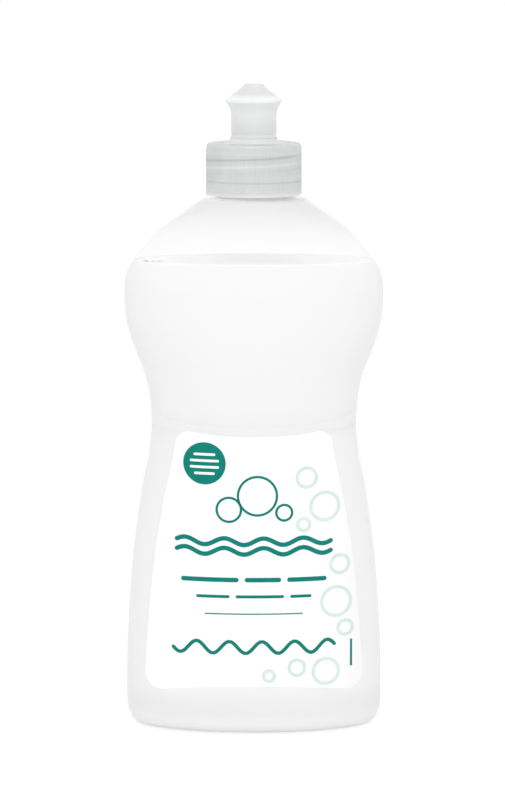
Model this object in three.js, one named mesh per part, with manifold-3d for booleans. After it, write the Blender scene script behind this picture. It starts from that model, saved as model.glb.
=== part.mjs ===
// A clear refill bottle of hand wash with a screw cap and a push-pull nozzle.
// Millimetres, +Z up. The origin is the centre of the base, and the front label faces -Y.
// The bottle is an ellipse at every height: wide belly, narrow waist, wide chest, round neck.
import * as THREE from "three";
import { mergeVertices } from "three/addons/utils/BufferGeometryUtils.js";
import Module from "manifold-3d";

const wasm = await Module();
wasm.setup();

// Bottle body: heights above the base, half widths (along X) and half depths (along Y)
const BELLY_HEIGHT = 17;
const BELLY_HALF_WIDTH = 43.4;
const BELLY_HALF_DEPTH = 27.4;
const WAIST_HEIGHT = 102.6;
const WAIST_HALF_WIDTH = 34.85;
const WAIST_HALF_DEPTH = 26.4;
const CHEST_HEIGHT = 146;
const CHEST_HALF_WIDTH = 43.95;
const CHEST_HALF_DEPTH = 24.8;
const SHOULDER_HEIGHT = 177.3;
const SHOULDER_HALF_WIDTH = 17.6;
const SHOULDER_HALF_DEPTH = 16.9;
const WALL = 0.6;

// How the outline runs between two of those heights: [share of the rise, share of the change]
const BELLY_TO_WAIST = [[0.38, 0.17], [0.72, 0.58], [0.9, 0.915]];
const WAIST_TO_CHEST = [[0.19, 0.07], [0.37, 0.27], [0.65, 0.766], [0.84, 0.966]];
const CHEST_TO_SHOULDER = [[0.17, 0.02], [0.36, 0.128], [0.68, 0.457], [0.81, 0.673]];
const BELLY_TO_WAIST_DEPTH = [[0.5, 0.5]];
const WAIST_TO_CHEST_DEPTH = [[0.6, -0.2]];
const CHEST_TO_SHOULDER_DEPTH = [[0.35, 0.48], [0.62, 0.76]];

// Shallow panel round the body for the labels. Its ledges bow in the middle of front and back.
const PANEL_DEPTH = 0.5;
const PANEL_LEDGE = 0.8;
const PANEL_BOTTOM = 11.5;
const PANEL_BOTTOM_BOW = 4.4;
const PANEL_TOP = 104;
const PANEL_TOP_BOW = -2;

// Base: a rounded heel, a flat ring to stand on, and a pushed-up middle
const HEEL_RADIAL = 4.6;
const HEEL_AXIAL = 9;
const STANDING_RING = 3;
const PUSH_UP = 3.5;

// Neck finish: bore, wall, right-hand thread and the bead below it
const NECK_BORE_RADIUS = 10.6;
const NECK_WALL = 1.9;
const NECK_HEIGHT = 16.1;
const NECK_FILLET = 1.1;
const LIP_ROUND = 0.4;
const THREAD_PITCH = 4.23;
const THREAD_DEPTH = 1.2;
const THREAD_ROOT_WIDTH = 2.4;
const THREAD_CREST_WIDTH = 0.9;
const THREAD_TURNS = 1.5;
const THREAD_BELOW_LIP = 2;
const THREAD_TOP_ANGLE = -15;
const BEAD_HEIGHT = 1.5;
const BEAD_ABOVE_SHOULDER = 4.6;
const BEAD_DEPTH = 0.9;

// Hand wash inside the bottle
const FILL_HEIGHT = 156.9;
const LIQUID_GAP = 0.35;

// Labels: cut to the body's outline, a side margin inside it
const LABEL_BOTTOM = 14.8;
const LABEL_TOP = 101.5;
const LABEL_BOTTOM_MARGIN = 7.3;
const LABEL_TOP_MARGIN = 9.4;
const LABEL_TOP_DIP = 1.4;
const LABEL_BOTTOM_ARCH = 2.1;
const LABEL_TOP_CORNER = 4;
const LABEL_BOTTOM_CORNER = 5.2;
const LABEL_THICKNESS = 0.2;
const LABEL_GAP = 0.2;

// Screw cap
const CAP_WALL = 2;
const CAP_SKIRT_CLEARANCE = 1.2;
const CAP_DECK = 1.2;
const CAP_CORNER_RADIAL = 1.3;
const CAP_CORNER_AXIAL = 2.8;
const CAP_THREAD_TURNS = 1.2;
const CAP_THREAD_ROOT_WIDTH = 2.1;
const CAP_THREAD_CREST_WIDTH = 0.7;
const THREAD_CLEARANCE = 0.3;
const THREAD_ROOT_CLEARANCE = 0.4;
const BOSS_OVERHANG = 0.3;
const BOSS_HEIGHT = 1.7;
const BOSS_SPREAD = 2.6;

// Sealing ring between the neck's lip and the cap's deck
const SEAL_THICKNESS = 0.8;
const SEAL_RADIUS = 13.4;
const SEAL_GAP = 0.2;

// Spout tube and plug pin, moulded with the cap
const SPOUT_RADIUS = 6.05;
const SPOUT_BORE = 4.9;
const SPOUT_BEAD = 0.45;
const SPOUT_BEAD_HEIGHT = 1;
const SPOUT_TIP = 0.7;
const PIN_FOOT_RADIUS = 1.9;
const PIN_RADIUS = 1.4;
const PIN_TIP_BELOW_NOZZLE = 0.5;
const SPOKE_COUNT = 3;
const SPOKE_WIDTH = 1.2;

// Push-pull nozzle
const NOZZLE_TRAVEL = 5.5;
const NOZZLE_WALL = 0.8;
const NOZZLE_GAP = 0.3;
const NOZZLE_LIP_HEIGHT = 0.8;
const NOZZLE_BARREL = 7.7;
const GRIP_FLARE_HEIGHT = 4.3;
const GRIP_RADIUS = 9.4;
const GRIP_EDGE = 0.8;
const FLARE_BEND_OUT = 0.2;
const FLARE_BEND_UP = 0.55;
const CONE_HEIGHT = 4.8;
const CONE_BEND_IN = 0.69;
const CONE_BEND_UP = 0.5;
const TIP_RADIUS = 3.3;
const ORIFICE_CLEARANCE = 0.3;
const ORIFICE_LENGTH = 2.4;

// How finely the curves are cut
const BODY_SEGMENTS = 36;
const ROUND_SEGMENTS = 36;
const PANEL_RINGS = 10;
const CHEST_RINGS = 7;
const SHOULDER_RINGS = 9;
const CORNER_RINGS = 4;
const LABEL_COLUMNS = 8;
const LABEL_ROWS = 12;

// Sizes that follow from the ones above
const neckRadius = NECK_BORE_RADIUS + NECK_WALL;
const threadRadius = neckRadius + THREAD_DEPTH;
const lipHeight = SHOULDER_HEIGHT + NECK_HEIGHT;
const threadTopHeight = lipHeight - THREAD_BELOW_LIP;
const beadBottom = SHOULDER_HEIGHT + BEAD_ABOVE_SHOULDER;
const capBoreRadius = threadRadius + THREAD_CLEARANCE;
const capRadius = capBoreRadius + CAP_WALL;
const capBottom = SHOULDER_HEIGHT + CAP_SKIRT_CLEARANCE;
const capThreadRadius = neckRadius + THREAD_ROOT_CLEARANCE;
const sealBottom = lipHeight + SEAL_GAP;
const deckBottom = sealBottom + SEAL_THICKNESS + SEAL_GAP;
const deckTop = deckBottom + CAP_DECK;
const spoutBeadRadius = SPOUT_RADIUS + SPOUT_BEAD;
const nozzleBoreRadius = spoutBeadRadius + NOZZLE_GAP;
const nozzleRadius = nozzleBoreRadius + NOZZLE_WALL;
const nozzleLipRadius = SPOUT_RADIUS + NOZZLE_GAP;
const bossRadius = nozzleRadius + BOSS_OVERHANG;
const bossTop = deckTop + BOSS_HEIGHT;
const nozzleBottom = bossTop + NOZZLE_GAP;
const nozzleLipTop = nozzleBottom + NOZZLE_LIP_HEIGHT;
const spoutBeadBottom = nozzleLipTop + NOZZLE_TRAVEL + NOZZLE_GAP;
const spoutTop = spoutBeadBottom + SPOUT_BEAD_HEIGHT + SPOUT_TIP;
const gripBottom = nozzleBottom + NOZZLE_BARREL;
const gripEdge = gripBottom + GRIP_FLARE_HEIGHT;
const nozzleTop = gripEdge + GRIP_EDGE + CONE_HEIGHT;
const orificeRadius = PIN_RADIUS + ORIFICE_CLEARANCE;

const fullTurn = 2 * Math.PI;
const mix = (from, to, share) => from + (to - from) * share;

// A smooth curve through [position, value] stations that never overshoots them.
function smoothCurve(stations) {
  const slopes = stations.map((_, i) => {
    if (i === 0 || i === stations.length - 1) return 0;
    const [before, here, after] = [stations[i - 1], stations[i], stations[i + 1]];
    const left = (here[1] - before[1]) / (here[0] - before[0]);
    const right = (after[1] - here[1]) / (after[0] - here[0]);
    return left * right <= 0 ? 0 : (2 * left * right) / (left + right);
  });
  const last = stations.length - 1;
  const before = stations[last - 1];
  slopes[last] = (1.5 * (stations[last][1] - before[1])) / (stations[last][0] - before[0]);
  slopes[last] -= slopes[last - 1] / 2;
  return (x) => {
    let i = 0;
    while (i < last - 1 && x > stations[i + 1][0]) i += 1;
    const [x0, y0] = stations[i];
    const [x1, y1] = stations[i + 1];
    const span = x1 - x0;
    const t = Math.min(Math.max((x - x0) / span, 0), 1);
    const rise = t * t * (3 - 2 * t);
    const leave = t * (1 - t) * (1 - t) * span * slopes[i];
    const arrive = t * t * (t - 1) * span * slopes[i + 1];
    return mix(y0, y1, rise) + leave + arrive;
  };
}

// Stations between two main ones, from their shares of the rise and of the change.
function between([lowHeight, lowSize], [highHeight, highSize], shares) {
  return shares.map(([rise, change]) => [
    mix(lowHeight, highHeight, rise),
    mix(lowSize, highSize, change),
  ]);
}

function outline(belly, waist, chest, shoulder, [lower, middle, upper]) {
  return smoothCurve([
    belly,
    ...between(belly, waist, lower),
    waist,
    ...between(waist, chest, middle),
    chest,
    ...between(chest, shoulder, upper),
    shoulder,
  ]);
}

const halfWidthAt = outline(
  [BELLY_HEIGHT, BELLY_HALF_WIDTH],
  [WAIST_HEIGHT, WAIST_HALF_WIDTH],
  [CHEST_HEIGHT, CHEST_HALF_WIDTH],
  [SHOULDER_HEIGHT, SHOULDER_HALF_WIDTH],
  [BELLY_TO_WAIST, WAIST_TO_CHEST, CHEST_TO_SHOULDER],
);
const halfDepthAt = outline(
  [BELLY_HEIGHT, BELLY_HALF_DEPTH],
  [WAIST_HEIGHT, WAIST_HALF_DEPTH],
  [CHEST_HEIGHT, CHEST_HALF_DEPTH],
  [SHOULDER_HEIGHT, SHOULDER_HALF_DEPTH],
  [BELLY_TO_WAIST_DEPTH, WAIST_TO_CHEST_DEPTH, CHEST_TO_SHOULDER_DEPTH],
);

// An ellipse ring, as half width, half depth and height. The bow lifts its front and back.
const ring = (halfWidth, halfDepth, height, bow = 0) => ({ halfWidth, halfDepth, height, bow });
const roundRing = (radius, height) => ring(radius, radius, height);
const bodyRing = (height) => ring(halfWidthAt(height), halfDepthAt(height), height);
const panelRing = (height, bow = 0) =>
  ring(halfWidthAt(height), halfDepthAt(height) - PANEL_DEPTH, height, bow);

// The outside of the body from the middle of the base up to the shoulder's top edge.
function bodyRings() {
  const width = halfWidthAt(0) - HEEL_RADIAL;
  const depth = halfDepthAt(0) - HEEL_RADIAL;
  const domeWidth = width - STANDING_RING;
  const domeDepth = depth - STANDING_RING;
  const dome = [0, 0.4, 0.75, 1].map((share) =>
    ring(domeWidth * share, domeDepth * share, PUSH_UP * (1 - share * share)),
  );
  const heel = [];
  for (let i = 0; i < CORNER_RINGS; i += 1) {
    const turn = (Math.PI / 2) * (i / CORNER_RINGS);
    const out = HEEL_RADIAL * Math.sin(turn);
    heel.push(ring(width + out, depth + out, HEEL_AXIAL * (1 - Math.cos(turn))));
  }
  const edge = { ...bodyRing(PANEL_BOTTOM - PANEL_LEDGE), bow: PANEL_BOTTOM_BOW };
  const panel = [panelRing(PANEL_BOTTOM, PANEL_BOTTOM_BOW)];
  for (let i = 1; i < PANEL_RINGS; i += 1) {
    panel.push(panelRing(mix(PANEL_BOTTOM, PANEL_TOP, i / PANEL_RINGS)));
  }
  panel.push(panelRing(PANEL_TOP, PANEL_TOP_BOW));
  const chestFoot = PANEL_TOP + PANEL_LEDGE;
  const chest = [{ ...bodyRing(chestFoot), bow: PANEL_TOP_BOW }];
  for (let i = 1; i <= CHEST_RINGS; i += 1) {
    chest.push(bodyRing(mix(chestFoot, CHEST_HEIGHT, i / CHEST_RINGS)));
  }
  for (let i = 1; i <= SHOULDER_RINGS; i += 1) {
    chest.push(bodyRing(mix(CHEST_HEIGHT, SHOULDER_HEIGHT, i / SHOULDER_RINGS)));
  }
  return [...dome, ...heel, bodyRing(HEEL_AXIAL), edge, ...panel, ...chest];
}

// The rings as points, each moved along the surface's outward normal by the offset.
function ringPoints(rings, offset) {
  return rings.map((here, i) => {
    const below = rings[Math.max(i - 1, 0)];
    const above = rings[Math.min(i + 1, rings.length - 1)];
    const points = [];
    for (let j = 0; j < BODY_SEGMENTS; j += 1) {
      const turn = (fullTurn * j) / BODY_SEGMENTS;
      const [c, s] = [Math.cos(turn), Math.sin(turn)];
      const along = new THREE.Vector3(
        (above.halfWidth - below.halfWidth) * c,
        (above.halfDepth - below.halfDepth) * s,
        above.height - below.height,
      );
      const around = new THREE.Vector3(-here.halfWidth * s, here.halfDepth * c, 0);
      const onAxis = here.halfWidth === 0;
      const normal = onAxis ? new THREE.Vector3(0, 0, -1) : around.cross(along).normalize();
      const height = here.height + here.bow * s * s;
      const point = new THREE.Vector3(here.halfWidth * c, here.halfDepth * s, height);
      points.push(point.addScaledVector(normal, offset));
    }
    return points;
  });
}

// A closed mesh through rings of points. A first or last ring on the axis closes to a point.
function loft(rings) {
  const positions = rings.flat().flatMap((p) => [p.x, p.y, p.z]);
  const count = rings[0].length;
  const index = [];
  for (let i = 0; i < rings.length - 1; i += 1) {
    for (let j = 0; j < count; j += 1) {
      const a = i * count + j;
      const b = i * count + ((j + 1) % count);
      index.push(a, b, b + count, a, b + count, a + count);
    }
  }
  const geometry = new THREE.BufferGeometry();
  geometry.setAttribute("position", new THREE.Float32BufferAttribute(positions, 3));
  geometry.setIndex(index);
  return geometry;
}

function centreOf(points) {
  const sum = points.reduce((total, p) => total.add(p), new THREE.Vector3());
  return sum.divideScalar(points.length);
}

// Closes a stack of rings with a flat cap at its first and last ring.
function closedLoft(rings) {
  const first = centreOf(rings[0]);
  const last = centreOf(rings[rings.length - 1]);
  return loft([rings[0].map(() => first), ...rings, rings[0].map(() => last)]);
}

// A solid from a three.js geometry: shared corners merged, flattened faces dropped.
function solid(geometry) {
  const bare = new THREE.BufferGeometry();
  bare.setAttribute("position", geometry.getAttribute("position"));
  if (geometry.index) bare.setIndex(geometry.index);
  const merged = mergeVertices(bare, 1e-4);
  const corners = merged.index.array;
  const kept = [];
  for (let i = 0; i < corners.length; i += 3) {
    const [a, b, c] = [corners[i], corners[i + 1], corners[i + 2]];
    if (a !== b && b !== c && c !== a) kept.push(a, b, c);
  }
  const vertProperties = merged.getAttribute("position").array;
  const triVerts = new Uint32Array(kept);
  return new wasm.Manifold(new wasm.Mesh({ numProp: 3, vertProperties, triVerts }));
}

function geometryOf(made) {
  const { vertProperties, triVerts } = made.getMesh();
  const geometry = new THREE.BufferGeometry();
  geometry.setAttribute("position", new THREE.BufferAttribute(vertProperties, 3));
  geometry.setIndex(new THREE.BufferAttribute(triVerts, 1));
  geometry.computeVertexNormals();
  return geometry;
}

// A round solid about Z from a closed path of radius and height.
function turned(path, curveSteps = CORNER_RINGS) {
  const profile = path.getPoints(curveSteps);
  const lathe = new THREE.LatheGeometry(profile, ROUND_SEGMENTS);
  return solid(lathe.rotateX(Math.PI / 2));
}

// A screw thread's ridge. It stands out from rootRadius to crestRadius, which may be further in,
// starts at the angle and height given, climbs right-handed and fades out at both ends.
function threadRidge({ rootRadius, crestRadius, rootWidth, crestWidth, height, angle, turns }) {
  const stepsPerTurn = 40;
  const fadeTurns = 0.08;
  const endShare = 0.15;
  const buried = 0.3;
  const steps = Math.round(stepsPerTurn * turns);
  const inward = crestRadius < rootRadius;
  const embedRadius = rootRadius + (inward ? buried : -buried);
  const sections = [];
  for (let i = 0; i <= steps; i += 1) {
    const turn = (turns * i) / steps;
    const toEnd = Math.min(turn, turns - turn);
    const full = Math.min(endShare + toEnd / fadeTurns, 1);
    const middle = height + THREAD_PITCH * turn;
    const theta = THREE.MathUtils.degToRad(angle) + fullTurn * turn;
    const crest = mix(rootRadius, crestRadius, full);
    const crestHalf = mix(rootWidth, crestWidth, full) / 2;
    const section = [
      [embedRadius, middle - rootWidth / 2],
      [rootRadius, middle - rootWidth / 2],
      [crest, middle - crestHalf],
      [crest, middle + crestHalf],
      [rootRadius, middle + rootWidth / 2],
      [embedRadius, middle + rootWidth / 2],
    ].map(([r, z]) => new THREE.Vector3(r * Math.cos(theta), r * Math.sin(theta), z));
    sections.push(inward ? section : section.reverse());
  }
  return solid(closedLoft(sections));
}

function bottle() {
  const body = bodyRings();
  const neckFoot = SHOULDER_HEIGHT + NECK_FILLET;
  const beadTop = beadBottom + BEAD_HEIGHT;
  const beadRadius = neckRadius + BEAD_DEPTH;
  const neckOutside = [
    roundRing(neckRadius + NECK_FILLET, SHOULDER_HEIGHT + NECK_FILLET / 3),
    roundRing(neckRadius, neckFoot + NECK_FILLET / 3),
    roundRing(neckRadius, beadBottom),
    roundRing(beadRadius, beadBottom + BEAD_HEIGHT / 4),
    roundRing(beadRadius, beadTop - BEAD_HEIGHT / 4),
    roundRing(neckRadius, beadTop),
    roundRing(neckRadius, lipHeight - LIP_ROUND),
    roundRing(neckRadius - LIP_ROUND, lipHeight),
  ];
  const neckInside = [
    roundRing(NECK_BORE_RADIUS + LIP_ROUND, lipHeight),
    roundRing(NECK_BORE_RADIUS, lipHeight - LIP_ROUND),
    roundRing(NECK_BORE_RADIUS, neckFoot),
    roundRing(neckRadius, SHOULDER_HEIGHT - WALL),
  ];
  const inside = ringPoints(body, -WALL).reverse();
  const shell = solid(
    loft([
      ...ringPoints(body, 0),
      ...ringPoints(neckOutside, 0),
      ...ringPoints(neckInside, 0),
      ...inside,
    ]),
  );
  const thread = threadRidge({
    rootRadius: neckRadius,
    crestRadius: threadRadius,
    rootWidth: THREAD_ROOT_WIDTH,
    crestWidth: THREAD_CREST_WIDTH,
    height: threadTopHeight - THREAD_PITCH * THREAD_TURNS,
    angle: THREAD_TOP_ANGLE - 360 * THREAD_TURNS,
    turns: THREAD_TURNS,
  });
  return shell.add(thread);
}

// The hand wash fills the bottle up to the fill height.
function handWash() {
  const full = solid(closedLoft(ringPoints(bodyRings(), -WALL - LIQUID_GAP)));
  const reach = 4 * CHEST_HALF_WIDTH;
  const below = new THREE.BoxGeometry(reach, reach, reach);
  return full.intersect(solid(below.translate(0, 0, FILL_HEIGHT - reach / 2)));
}

// A label's half width at a height: the body's outline less the margin, with round corners.
function labelHalfWidth(height) {
  const share = (height - LABEL_BOTTOM) / (LABEL_TOP - LABEL_BOTTOM);
  const straight = halfWidthAt(height) - mix(LABEL_BOTTOM_MARGIN, LABEL_TOP_MARGIN, share);
  const corner = (toEdge, radius) => {
    const into = Math.max(radius - toEdge, 0);
    return radius - Math.sqrt(Math.max(radius * radius - into * into, 0));
  };
  const top = corner(LABEL_TOP - height, LABEL_TOP_CORNER);
  return straight - top - corner(height - LABEL_BOTTOM, LABEL_BOTTOM_CORNER);
}

// The front label's outline as seen from the front. Points crowd towards the round corners.
function labelOutline() {
  const point = (across, up) => {
    const edge = mix(LABEL_BOTTOM, LABEL_TOP, up);
    const bow = mix(LABEL_BOTTOM_ARCH, -LABEL_TOP_DIP, up) * (1 - across * across);
    return new THREE.Vector2(across * labelHalfWidth(edge), edge + bow);
  };
  const outline = [];
  const walk = (steps, pointAt) => {
    for (let i = 0; i < steps; i += 1) outline.push(pointAt(i / steps));
  };
  const crowded = (t) => t * t * (3 - 2 * t);
  walk(LABEL_COLUMNS, (t) => point(2 * t - 1, 0));
  walk(LABEL_ROWS, (t) => point(1, crowded(t)));
  walk(LABEL_COLUMNS, (t) => point(1 - 2 * t, 1));
  walk(LABEL_ROWS, (t) => point(-1, 1 - crowded(t)));
  return new THREE.Shape(outline);
}

// The front label's film: a thin coat over the body, cut to the label's outline.
function labelFilm() {
  const coat = (offset) => solid(closedLoft(ringPoints(bodyRings(), offset)));
  const film = coat(LABEL_GAP + LABEL_THICKNESS).subtract(coat(LABEL_GAP));
  const depth = 2 * BELLY_HALF_DEPTH;
  const cutter = new THREE.ExtrudeGeometry(labelOutline(), { depth, bevelEnabled: false });
  return film.intersect(solid(cutter.rotateX(Math.PI / 2)));
}

function sealingRing() {
  const path = new THREE.Path();
  path.moveTo(NECK_BORE_RADIUS, sealBottom);
  path.lineTo(SEAL_RADIUS, sealBottom);
  path.lineTo(SEAL_RADIUS, sealBottom + SEAL_THICKNESS);
  path.lineTo(NECK_BORE_RADIUS, sealBottom + SEAL_THICKNESS);
  path.lineTo(NECK_BORE_RADIUS, sealBottom);
  return turned(path);
}

// Skirt, deck, boss and spout tube in one turned wall.
function capShell() {
  const boss = bossRadius + BOSS_SPREAD;
  const beadTop = spoutBeadBottom + SPOUT_BEAD_HEIGHT;
  const path = new THREE.Path();
  path.moveTo(capBoreRadius, capBottom);
  path.lineTo(capRadius, capBottom);
  path.lineTo(capRadius, deckTop - CAP_CORNER_AXIAL);
  path.quadraticCurveTo(capRadius, deckTop, capRadius - CAP_CORNER_RADIAL, deckTop);
  path.lineTo(boss, deckTop);
  path.quadraticCurveTo(bossRadius, deckTop, bossRadius, bossTop);
  path.lineTo(SPOUT_RADIUS, bossTop);
  path.lineTo(SPOUT_RADIUS, spoutBeadBottom);
  path.lineTo(spoutBeadRadius, spoutBeadBottom + SPOUT_BEAD);
  path.lineTo(spoutBeadRadius, beadTop);
  path.lineTo(SPOUT_RADIUS, spoutTop);
  path.lineTo(SPOUT_BORE, spoutTop);
  path.lineTo(SPOUT_BORE, deckBottom);
  path.lineTo(capBoreRadius, deckBottom);
  path.lineTo(capBoreRadius, capBottom);
  return turned(path);
}

// The pin that plugs the nozzle's orifice, on spokes across the foot of the spout.
function plugPin() {
  const pinTop = nozzleTop - PIN_TIP_BELOW_NOZZLE;
  const slimFrom = nozzleTop - ORIFICE_LENGTH - NOZZLE_TRAVEL;
  const path = new THREE.Path();
  path.moveTo(0, deckBottom);
  path.lineTo(PIN_FOOT_RADIUS, deckBottom);
  path.lineTo(PIN_FOOT_RADIUS, bossTop);
  path.lineTo(PIN_RADIUS, slimFrom);
  path.lineTo(PIN_RADIUS, pinTop - PIN_RADIUS / 2);
  path.quadraticCurveTo(PIN_RADIUS, pinTop, 0, pinTop);
  const reach = (SPOUT_BORE + SPOUT_RADIUS) / 2;
  let pin = turned(path);
  for (let i = 0; i < SPOKE_COUNT; i += 1) {
    const spoke = new THREE.BoxGeometry(reach, SPOKE_WIDTH, CAP_DECK);
    spoke.translate(reach / 2, 0, deckBottom + CAP_DECK / 2);
    pin = pin.add(solid(spoke.rotateZ((fullTurn * i) / SPOKE_COUNT)));
  }
  return pin;
}

// The cap's thread hangs one clearance below the neck's, as it does on a tightened cap.
function screwCap() {
  const slopeOut = (THREAD_ROOT_WIDTH - THREAD_CREST_WIDTH) / 2 / THREAD_DEPTH;
  const capThreadDepth = capBoreRadius - capThreadRadius;
  const slopeIn = (CAP_THREAD_ROOT_WIDTH - CAP_THREAD_CREST_WIDTH) / 2 / capThreadDepth;
  const neckHalf = THREAD_ROOT_WIDTH / 2 - slopeOut * THREAD_ROOT_CLEARANCE;
  const neckTip = THREAD_CREST_WIDTH / 2;
  const capTip = CAP_THREAD_CREST_WIDTH / 2;
  const capHalf = CAP_THREAD_ROOT_WIDTH / 2 - slopeIn * THREAD_CLEARANCE;
  const drop = Math.max(neckHalf + capTip, neckTip + capHalf) + THREAD_CLEARANCE;
  const beadTop = beadBottom + BEAD_HEIGHT;
  const height = beadTop + THREAD_CLEARANCE + CAP_THREAD_ROOT_WIDTH / 2;
  const turnsDown = (threadTopHeight - drop - height) / THREAD_PITCH;
  const thread = threadRidge({
    rootRadius: capBoreRadius,
    crestRadius: capThreadRadius,
    rootWidth: CAP_THREAD_ROOT_WIDTH,
    crestWidth: CAP_THREAD_CREST_WIDTH,
    height,
    angle: THREAD_TOP_ANGLE - 360 * turnsDown,
    turns: CAP_THREAD_TURNS,
  });
  return capShell().add(plugPin()).add(thread);
}

function pullNozzle() {
  const flareTop = gripEdge - GRIP_EDGE / 2;
  const coneFoot = gripEdge + GRIP_EDGE;
  const orificeFoot = nozzleTop - ORIFICE_LENGTH;
  const ceiling = spoutTop + NOZZLE_GAP;
  const flareBend = mix(gripBottom, flareTop, FLARE_BEND_UP);
  const coneWaist = mix(GRIP_RADIUS, TIP_RADIUS, CONE_BEND_IN);
  const coneBend = mix(coneFoot, nozzleTop, CONE_BEND_UP);
  const path = new THREE.Path();
  path.moveTo(nozzleLipRadius, nozzleBottom);
  path.lineTo(nozzleRadius, nozzleBottom);
  path.lineTo(nozzleRadius, gripBottom);
  path.quadraticCurveTo(nozzleRadius + FLARE_BEND_OUT, flareBend, GRIP_RADIUS, flareTop);
  path.lineTo(GRIP_RADIUS, gripEdge + GRIP_EDGE / 4);
  path.lineTo(GRIP_RADIUS - GRIP_EDGE / 3, coneFoot);
  path.quadraticCurveTo(coneWaist, coneBend, TIP_RADIUS, nozzleTop);
  path.lineTo(orificeRadius, nozzleTop);
  path.lineTo(orificeRadius, orificeFoot);
  path.lineTo(nozzleBoreRadius, ceiling);
  path.lineTo(nozzleBoreRadius, nozzleLipTop + SPOUT_BEAD);
  path.lineTo(nozzleLipRadius, nozzleLipTop);
  path.lineTo(nozzleLipRadius, nozzleBottom);
  return turned(path);
}

const clearPlastic = () =>
  new THREE.MeshStandardMaterial({
    color: 0xf1f3f3,
    roughness: 0.12,
    metalness: 0,
    transparent: true,
    opacity: 0.45,
  });
const paleLiquid = () =>
  new THREE.MeshStandardMaterial({ color: 0xeff1f1, roughness: 0.2, metalness: 0 });
const labelPaper = () =>
  new THREE.MeshStandardMaterial({ color: 0xfbfcfc, roughness: 0.45, metalness: 0 });
const naturalPlastic = () =>
  new THREE.MeshStandardMaterial({ color: 0xd2d3d3, roughness: 0.38, metalness: 0 });
const milkyPlastic = () =>
  new THREE.MeshStandardMaterial({ color: 0xe6e7e7, roughness: 0.35, metalness: 0 });
const sealFoam = () =>
  new THREE.MeshStandardMaterial({ color: 0xf4f4f2, roughness: 0.8, metalness: 0 });

function part(name, made, material) {
  const mesh = new THREE.Mesh(geometryOf(made), material);
  mesh.name = name;
  return mesh;
}

const pack = new THREE.Group();
pack.name = "hand_wash_refill";
pack.add(part("bottle", bottle(), clearPlastic()));
pack.add(part("hand_wash", handWash(), paleLiquid()));
pack.add(part("front_label", labelFilm(), labelPaper()));
const backLabel = part("back_label", labelFilm(), labelPaper());
backLabel.rotation.z = Math.PI;
pack.add(backLabel);
pack.add(part("sealing_ring", sealingRing(), sealFoam()));
pack.add(part("screw_cap", screwCap(), naturalPlastic()));
pack.add(part("pull_nozzle", pullNozzle(), milkyPlastic()));

export default pack;
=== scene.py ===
"""The looks of a clear bottle of hand wash with its labels, screw cap and push-pull nozzle."""
import math
import random

import bmesh
import bpy
from bpy.props import FloatProperty, FloatVectorProperty, IntProperty, PointerProperty
from mathutils import Matrix, Vector


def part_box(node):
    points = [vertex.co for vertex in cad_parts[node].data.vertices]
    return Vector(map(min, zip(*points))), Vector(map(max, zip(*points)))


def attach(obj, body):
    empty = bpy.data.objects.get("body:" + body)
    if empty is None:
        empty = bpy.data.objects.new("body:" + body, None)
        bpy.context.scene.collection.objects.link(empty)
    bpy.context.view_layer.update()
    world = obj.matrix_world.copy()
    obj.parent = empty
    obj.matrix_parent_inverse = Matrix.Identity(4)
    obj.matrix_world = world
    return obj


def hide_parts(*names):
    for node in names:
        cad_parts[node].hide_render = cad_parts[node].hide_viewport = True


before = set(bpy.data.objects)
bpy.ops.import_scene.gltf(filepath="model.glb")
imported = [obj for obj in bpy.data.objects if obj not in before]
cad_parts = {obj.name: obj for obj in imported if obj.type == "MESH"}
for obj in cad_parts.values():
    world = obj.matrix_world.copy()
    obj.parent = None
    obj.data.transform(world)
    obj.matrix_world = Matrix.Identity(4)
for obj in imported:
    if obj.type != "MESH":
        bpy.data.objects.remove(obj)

bl_info = {
    "name": "Hand wash bottle",
    "version": (1, 0, 0),
    "blender": (4, 5, 0),
    "location": "View3D > Sidebar > Hand wash",
    "description": "Builds a clear hand wash bottle with labels, screw cap and push-pull nozzle",
    "category": "Add Mesh",
}

MM = 0.001
FULL_TURN = 2 * math.pi
SHARP_ANGLE = math.radians(40)

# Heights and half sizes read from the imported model
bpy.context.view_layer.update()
LIP_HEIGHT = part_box("bottle")[1].z
FILL_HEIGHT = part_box("hand_wash")[1].z
SEAL_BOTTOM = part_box("sealing_ring")[0].z
SEAL_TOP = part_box("sealing_ring")[1].z
SEAL_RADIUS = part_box("sealing_ring")[1].x
CAP_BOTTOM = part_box("screw_cap")[0].z
CAP_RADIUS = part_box("screw_cap")[1].x
PIN_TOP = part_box("screw_cap")[1].z
NOZZLE_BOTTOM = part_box("pull_nozzle")[0].z
NOZZLE_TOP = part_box("pull_nozzle")[1].z
GRIP_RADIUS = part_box("pull_nozzle")[1].x

# Body outline: (height, half width) and (height, half depth), each a smooth curve
SHOULDER_HEIGHT = LIP_HEIGHT - 16.1 * MM
WIDTH_STATIONS = (
    (17.0, 43.4),
    (49.5, 41.95),
    (78.6, 38.44),
    (94.0, 35.58),
    (102.6, 34.85),
    (110.8, 35.49),
    (118.7, 37.31),
    (130.8, 41.82),
    (139.1, 43.64),
    (146.0, 43.95),
    (151.3, 43.42),
    (157.3, 40.58),
    (167.3, 31.91),
    (171.35, 26.22),
    (177.3, 17.6),
)
DEPTH_STATIONS = (
    (17.0, 27.4),
    (59.8, 26.9),
    (102.6, 26.4),
    (128.6, 26.72),
    (146.0, 24.8),
    (157.0, 21.01),
    (165.4, 18.8),
    (177.3, 16.9),
)

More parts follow.
